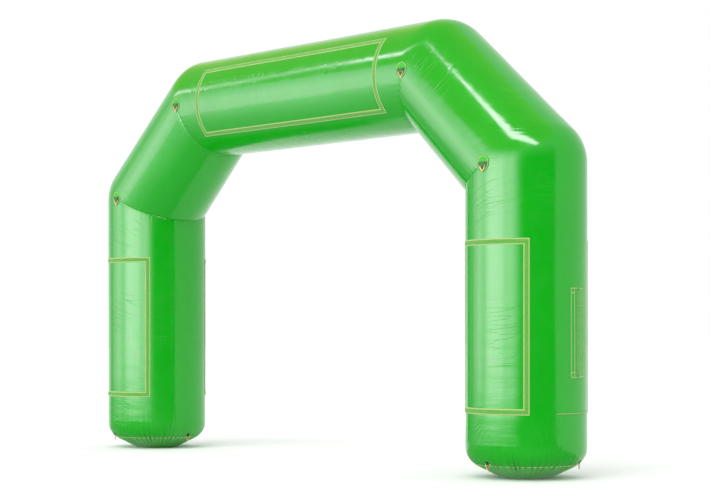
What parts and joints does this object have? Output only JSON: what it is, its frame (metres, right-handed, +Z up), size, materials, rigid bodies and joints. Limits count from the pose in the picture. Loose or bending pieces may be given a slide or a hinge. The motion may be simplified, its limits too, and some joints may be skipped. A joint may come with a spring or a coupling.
{
  "type": "inflatable advertising arch",
  "caption": "Upright inflatable arch of green tarpaulin tubes with mitred shoulders, hook-and-loop banner frames, tie rings and a pressure release zip.",
  "frame": {"origin": "on the floor, midway between the two feet", "axes": "+X along the span towards the leg with the zip, -Y the front with the banners, +Z up"},
  "size_m": [6.3247, 1.0222, 3.89],
  "materials": {
    "tube": "glossy coated tarpaulin",
    "foot_base": "heavier coated tarpaulin, satin",
    "banner_tape": "hook-and-loop tape",
    "patch": "glossy coated tarpaulin",
    "loop": "woven webbing",
    "foot_loop": "woven webbing",
    "ring": "bent wire, polished",
    "facing": "glossy coated tarpaulin",
    "zip_tape": "woven zip tape with moulded teeth",
    "zip_metal": "zinc alloy, dull",
    "sleeve": "glossy coated tarpaulin"
  },
  "bodies": {
    "arch": {"beam_tube": "tube", "blower_sleeve": "sleeve", "front_beam_banner_tape": "banner_tape", "front_left_banner_tape": "banner_tape", "front_left_knee_loop": "loop", "front_left_knee_patch": "patch", "front_left_shoulder_loop": "loop", "front_left_shoulder_patch": "patch", "front_right_banner_tape": "banner_tape", "front_right_knee_loop": "loop", "front_right_knee_patch": "patch", "front_right_shoulder_loop": "loop", "front_right_shoulder_patch": "patch", "left_diagonal_tube": "tube", "left_foot_base": "foot_base", "left_foot_front_loop": "foot_loop", "left_foot_second_loop": "foot_loop", "left_foot_third_loop": "foot_loop", "left_leg_tube": "tube", "rear_beam_banner_tape": "banner_tape", "rear_left_banner_tape": "banner_tape", "rear_left_knee_loop": "loop", "rear_left_knee_patch": "patch", "rear_left_shoulder_loop": "loop", "rear_left_shoulder_patch": "patch", "rear_right_banner_tape": "banner_tape", "rear_right_knee_loop": "loop", "rear_right_knee_patch": "patch", "rear_right_shoulder_loop": "loop", "rear_right_shoulder_patch": "patch", "right_diagonal_tube": "tube", "right_foot_base": "foot_base", "right_foot_front_loop": "foot_loop", "right_foot_second_loop": "foot_loop", "right_foot_third_loop": "foot_loop", "right_leg_tube": "tube", "sleeve_mouth_lip": "facing", "zip_front_facing": "facing", "zip_front_tape": "zip_tape", "zip_rear_facing": "facing", "zip_rear_tape": "zip_tape", "zip_seal_flap": "facing"},
    "front_left_knee_ring": {"front_left_knee_ring": "ring"},
    "front_left_shoulder_ring": {"front_left_shoulder_ring": "ring"},
    "front_right_knee_ring": {"front_right_knee_ring": "ring"},
    "front_right_shoulder_ring": {"front_right_shoulder_ring": "ring"},
    "left_foot_front_ring": {"left_foot_front_ring": "ring"},
    "left_foot_second_ring": {"left_foot_second_ring": "ring"},
    "left_foot_third_ring": {"left_foot_third_ring": "ring"},
    "rear_left_knee_ring": {"rear_left_knee_ring": "ring"},
    "rear_left_shoulder_ring": {"rear_left_shoulder_ring": "ring"},
    "rear_right_knee_ring": {"rear_right_knee_ring": "ring"},
    "rear_right_shoulder_ring": {"rear_right_shoulder_ring": "ring"},
    "right_foot_front_ring": {"right_foot_front_ring": "ring"},
    "right_foot_second_ring": {"right_foot_second_ring": "ring"},
    "right_foot_third_ring": {"right_foot_third_ring": "ring"},
    "zip_slider": {"zip_slider": "zip_metal"},
    "zip_pull": {"zip_pull": "zip_metal"}
  },
  "joints": [
    {"name": "front_left_knee_ring_swing", "type": "hinge", "parent": "arch", "child": "front_left_knee_ring", "pos_m": [-2.66, -0.5066, 2.537], "axis": [-1, 0, 0], "range_deg": [0, 150]},
    {"name": "front_left_shoulder_ring_swing", "type": "hinge", "parent": "arch", "child": "front_left_shoulder_ring", "pos_m": [-1.65, -0.482, 3.402], "axis": [-1, 0, 0], "range_deg": [0, 150]},
    {"name": "front_right_knee_ring_swing", "type": "hinge", "parent": "arch", "child": "front_right_knee_ring", "pos_m": [2.66, -0.5066, 2.537], "axis": [-1, 0, 0], "range_deg": [0, 150]},
    {"name": "front_right_shoulder_ring_swing", "type": "hinge", "parent": "arch", "child": "front_right_shoulder_ring", "pos_m": [1.65, -0.482, 3.402], "axis": [-1, 0, 0], "range_deg": [0, 150]},
    {"name": "left_foot_front_ring_swing", "type": "hinge", "parent": "arch", "child": "left_foot_front_ring", "pos_m": [-2.81167, -0.4167, 0.12674], "axis": [-0.9397, 0.342, 0], "range_deg": [-30, 105]},
    {"name": "left_foot_second_ring_swing", "type": "hinge", "parent": "arch", "child": "left_foot_second_ring", "pos_m": [-2.22329, 0.077, 0.12674], "axis": [0.1736, -0.9848, 0], "range_deg": [-30, 105]},
    {"name": "left_foot_third_ring_swing", "type": "hinge", "parent": "arch", "child": "left_foot_third_ring", "pos_m": [-2.94504, 0.3397, 0.12674], "axis": [0.766, 0.6428, 0], "range_deg": [-30, 105]},
    {"name": "rear_left_knee_ring_swing", "type": "hinge", "parent": "arch", "child": "rear_left_knee_ring", "pos_m": [-2.66, 0.5066, 2.537], "axis": [1, 0, 0], "range_deg": [0, 150]},
    {"name": "rear_left_shoulder_ring_swing", "type": "hinge", "parent": "arch", "child": "rear_left_shoulder_ring", "pos_m": [-1.65, 0.482, 3.402], "axis": [1, 0, 0], "range_deg": [0, 150]},
    {"name": "rear_right_knee_ring_swing", "type": "hinge", "parent": "arch", "child": "rear_right_knee_ring", "pos_m": [2.66, 0.5066, 2.537], "axis": [1, 0, 0], "range_deg": [0, 150]},
    {"name": "rear_right_shoulder_ring_swing", "type": "hinge", "parent": "arch", "child": "rear_right_shoulder_ring", "pos_m": [1.65, 0.482, 3.402], "axis": [1, 0, 0], "range_deg": [0, 150]},
    {"name": "right_foot_front_ring_swing", "type": "hinge", "parent": "arch", "child": "right_foot_front_ring", "pos_m": [2.66, -0.44344, 0.12674], "axis": [-1, 0, 0], "range_deg": [-30, 105]},
    {"name": "right_foot_second_ring_swing", "type": "hinge", "parent": "arch", "child": "right_foot_second_ring", "pos_m": [3.04403, 0.22172, 0.12674], "axis": [0.5, -0.866, 0], "range_deg": [-30, 105]},
    {"name": "right_foot_third_ring_swing", "type": "hinge", "parent": "arch", "child": "right_foot_third_ring", "pos_m": [2.27597, 0.22172, 0.12674], "axis": [0.5, 0.866, 0], "range_deg": [-30, 105]},
    {"name": "zip_slider_travel", "type": "slide", "parent": "arch", "child": "zip_slider", "axis": [0, 0, 1], "range_m": [0, 0.655]},
    {"name": "zip_pull_swing", "type": "hinge", "parent": "zip_slider", "child": "zip_pull", "pos_m": [3.16127, 0.08839, 0.862], "axis": [0.1736, -0.9848, 0], "range_deg": [0, 150]}
  ]
}
